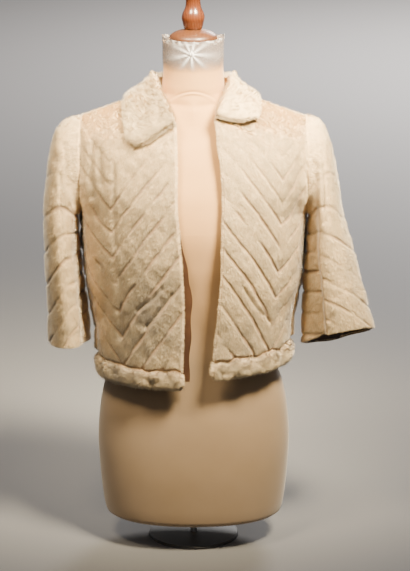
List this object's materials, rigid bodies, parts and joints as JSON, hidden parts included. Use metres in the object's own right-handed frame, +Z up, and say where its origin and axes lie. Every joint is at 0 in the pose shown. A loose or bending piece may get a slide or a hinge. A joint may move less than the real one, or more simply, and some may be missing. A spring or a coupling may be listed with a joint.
{
  "type": "fur bolero on dress form",
  "caption": "Cropped open fur bolero pieced in herringbone strips, with bell sleeves and a small pointed collar, hanging on a limbless dress form on a small stand.",
  "frame": {"origin": "centre of the underside of the round base plate, on the floor", "axes": "+Z up, along the pole and the neck of the form; the wearer faces -Y; the wearer's left is +X"},
  "size_m": [0.5785, 0.2542, 0.9991],
  "materials": {
    "fur": "short dense cream pile in pieced strips",
    "satin": "brown satin lining",
    "jersey": "smooth cream jersey over a hard body",
    "film": "clear crinkled film",
    "cap_wood": "light satin varnish",
    "finial_wood": "red brown gloss varnish",
    "steel": "plain",
    "iron": "black paint"
  },
  "bodies": {
    "root": {"back": "fur", "front_right": "fur", "front_left": "fur", "sleeve_right": "fur", "sleeve_left": "fur", "collar": "fur", "hem_band_back": "fur", "hem_band_front_right": "fur", "hem_band_front_left": "fur", "cuff_facing_right": "satin", "cuff_facing_left": "satin", "torso": "jersey", "neck_film": "film", "neck_cap": "cap_wood", "finial": "finial_wood", "pole": "steel", "base_plate": "iron"}
  },
  "joints": []
}
